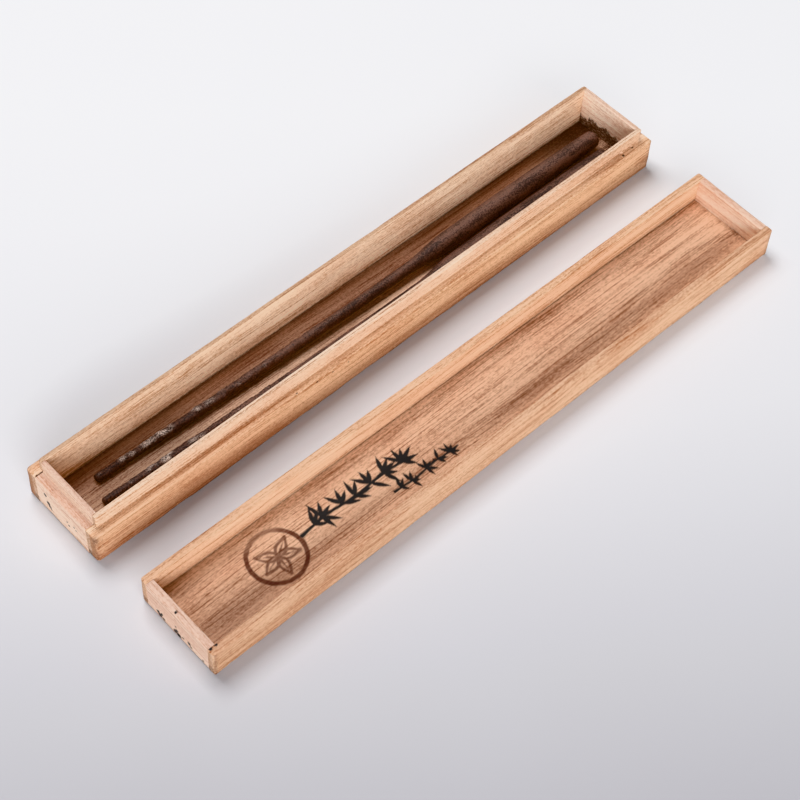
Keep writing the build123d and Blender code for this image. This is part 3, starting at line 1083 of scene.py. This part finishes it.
def add_all_pegs():
    """The pegs of the box and of the lid."""
    box_corners = corner_places(BOX_WALL, BOX_CORNER_PEG_HEIGHTS)
    lid_corners = corner_places(LID_WALL, LID_CORNER_PEG_HEIGHTS)
    add_pegs("box_corner_peg_set", "box_corner_pegs", "box", box_corners, BOX_WALL, 1)
    add_pegs("box_floor_peg_set", "box_floor_pegs", "box", row_places(BOX_FLOOR), BOX_WALL, 2)
    add_pegs("lid_corner_peg_set", "lid_corner_pegs", "lid", lid_corners, LID_WALL, 3)
    add_pegs("lid_panel_peg_set", "lid_panel_pegs", "lid", row_places(LID_PANEL), LID_WALL, 4)


# -------------------- chopsticks


STICK_RINGS = 720
STICK_SIDES = 56
TIP_RINGS = 7
BUTT_RINGS = 11

# How far the ash stands out, and how far the castings stay above the box's floor.
ASH_THICKNESS = 0.3
FLOOR_GAP = 0.05

# Ash on each chopstick: start and end along it, and strength.
FAR_STICK_ASH = [(15, 25, 0.6), (28, 37, 0.7), (39, 48, 1.0), (62, 66, 0.6), (70, 75, 0.5)]
NEAR_STICK_ASH = [(28, 33, 0.6), (37, 44, 1.0), (54, 63, 0.5)]


def plain_radius(along):
    """The chopstick's radius before its ends are rounded."""
    thin = TIP_RADIUS + (NECK_RADIUS - TIP_RADIUS) * np.minimum(along / NECK_AT, 1)
    reach = (along - HANDLE_MIDDLE) / (STICK_LENGTH - HANDLE_MIDDLE)
    barrel = HANDLE_RADIUS - HANDLE_FALL * reach ** 2
    return thin + (barrel - thin) * rise(along, NECK_AT, HANDLE_AT)


def end_cut(distance, round_off):
    """How much a rounded end takes off the radius, at a distance from that end."""
    into = np.clip(1 - distance / round_off, 0, 1)
    return round_off * (1 - np.sqrt(1 - into ** 2))


def stick_radius(along):
    """The chopstick's radius, with both ends rounded."""
    return plain_radius(along) - end_cut(along, TIP_ROUND) - end_cut(STICK_LENGTH - along, BUTT_ROUND)


def stick_height(along):
    """The height of a chopstick's axis when its tip and its handle both lie on the floor."""
    tried = np.arange(1, int(STICK_LENGTH))
    slope = np.max((plain_radius(tried) - TIP_RADIUS) / tried)
    return BOX_FLOOR + TIP_RADIUS + STICK_CLEARANCE + slope * along


def stick_stations():
    """Distances from the tip, closer together at the rounded ends."""
    tip = TIP_ROUND * (1 - np.cos(np.linspace(0, math.pi / 2, TIP_RINGS)))
    butt = STICK_LENGTH - BUTT_ROUND * (1 - np.sin(np.linspace(0, math.pi / 2, BUTT_RINGS)))
    middle = np.linspace(TIP_ROUND, STICK_LENGTH - BUTT_ROUND, STICK_RINGS)
    return np.concatenate([tip[:-1], middle[:-1], butt])


def add_stick(node, place, rubbing, deposits, seed):
    """One chopstick.

    rubbing is how brown the working end is past the crusted tip. The ash lies on the upper far side."""
    tip_x, handle_y, bend = place
    rows = stick_stations()
    turn = np.linspace(0, 2 * math.pi, STICK_SIDES, endpoint=False)
    stations, angles = np.meshgrid(rows, turn, indexing="ij")
    radius = stick_radius(stations).ravel()
    along, angle = stations.ravel(), angles.ravel()
    skin = np.column_stack([along, radius * np.cos(angle), radius * np.sin(angle)])

    scaly = 1 - 0.8 * rise(along, 110, 190)
    lumps = 0.4 * smooth_noise(skin * (0.26, 0.3, 0.3), seed)
    lumps += 0.24 * smooth_noise(skin * 0.75, seed + 1)
    crust = 0.17 * smooth_noise(skin * 1.9, seed + 2)
    handle = rise(along, NECK_AT - 6, HANDLE_AT + 6)
    rough = (lumps + crust) * scaly * (1 - handle)
    cast = handle * (0.05 * smooth_noise(skin * (0.05, 0.3, 0.3), seed + 3) - 0.05)
    cast += handle * 0.018 * smooth_noise(skin * 1.3, seed + 4)

    upper = rise(np.cos(angle - 1.25), 0.05, 0.85)
    cloud = 0.5 + 0.5 * smooth_noise(skin * (0.35, 0.5, 0.5), seed + 5)
    ash = np.zeros(len(skin))
    for start, stop, strength in deposits:
        stretch = rise(along, start - 2, start + 2) * (1 - rise(along, stop - 2, stop + 2))
        ash = np.maximum(ash, strength * stretch * upper * rise(cloud, 0.22, 0.6))
    faint = 0.35 * (1 - rise(along, 80, 150)) * upper * rise(cloud, 0.7, 0.95)
    ash = np.maximum(ash, faint)
    radius = radius + rough * np.minimum(radius / TIP_RADIUS, 1) + cast + ASH_THICKNESS * ash

    centre = stick_bow(along, handle_y, bend)
    points = np.column_stack([tip_x + along, centre + radius * np.cos(angle),
                              stick_height(along) + radius * np.sin(angle)])
    points[:, 2] = np.maximum(points[:, 2], BOX_FLOOR + FLOOR_GAP)
    points, faces = ring_solid(points.reshape(len(rows), STICK_SIDES, 3))

    def with_ends(values):
        """Adds the values of the two points in the middle of the end caps."""
        return np.concatenate([values, [values[0], values[-1]]])

    drift = np.array([seed * 517.0, 0.0, 0.0])
    rubbed = np.maximum(handle, rubbing * rise(along, 45, 100))
    attributes = {"place": points + drift, "ash": with_ends(ash), "rubbed": with_ends(rubbed)}
    add_mesh(f"{node}_casting", points, faces, attributes, node, "stick_iron", node)


def add_sticks():
    """The two chopsticks."""
    add_stick("far_chopstick", FAR_STICK, 0.75, FAR_STICK_ASH, 31)
    add_stick("near_chopstick", NEAR_STICK, 1.0, NEAR_STICK_ASH, 47)


# -------------------- the scene


FLOOR_REACH = 8.0
FLOOR_LINES = 9

# Each wood's pale, deep and pore colours, from 8-bit screen values.
WOOD_COLOURS = {
    "box_side_wood": ((252, 222, 194), (188, 138, 102), (136, 88, 58)),
    "box_end_wood": ((254, 236, 218), (214, 172, 146), (150, 104, 80)),
    "box_floor_wood": ((246, 208, 178), (164, 120, 98), (110, 74, 58)),
    "lid_side_wood": ((252, 220, 190), (190, 138, 101), (136, 88, 58)),
    "lid_end_wood": ((254, 236, 218), (214, 172, 146), (150, 104, 80)),
    "lid_panel_wood": ((230, 187, 157), (152, 106, 80), (106, 66, 46)),
    "peg_wood": ((240, 204, 170), (176, 126, 92), (130, 84, 56)),
}


def add_floor(material):
    """A plain pale floor."""
    count = FLOOR_LINES
    steps = np.linspace(-FLOOR_REACH, FLOOR_REACH, count)
    points = [(x, y, 0.0) for x in steps for y in steps]
    faces = [(i * count + j, (i + 1) * count + j, (i + 1) * count + j + 1, i * count + j + 1)
             for i in range(count - 1) for j in range(count - 1)]
    mesh = bpy.data.meshes.new("studio_floor")
    mesh.from_pydata(points, [], faces)
    mesh.materials.append(material)
    floor = bpy.data.objects.new("studio_floor", mesh)
    bpy.context.scene.collection.objects.link(floor)


add_camera()
add_lights()
add_floor(paper("studio_paper"))

materials = {}
for wood_name, colours in WOOD_COLOURS.items():
    materials[wood_name] = wood(wood_name, *[srgb(*colour) for colour in colours])
materials["stick_iron"] = iron("stick_iron")

add_box()
add_lid()
add_all_pegs()
add_sticks()
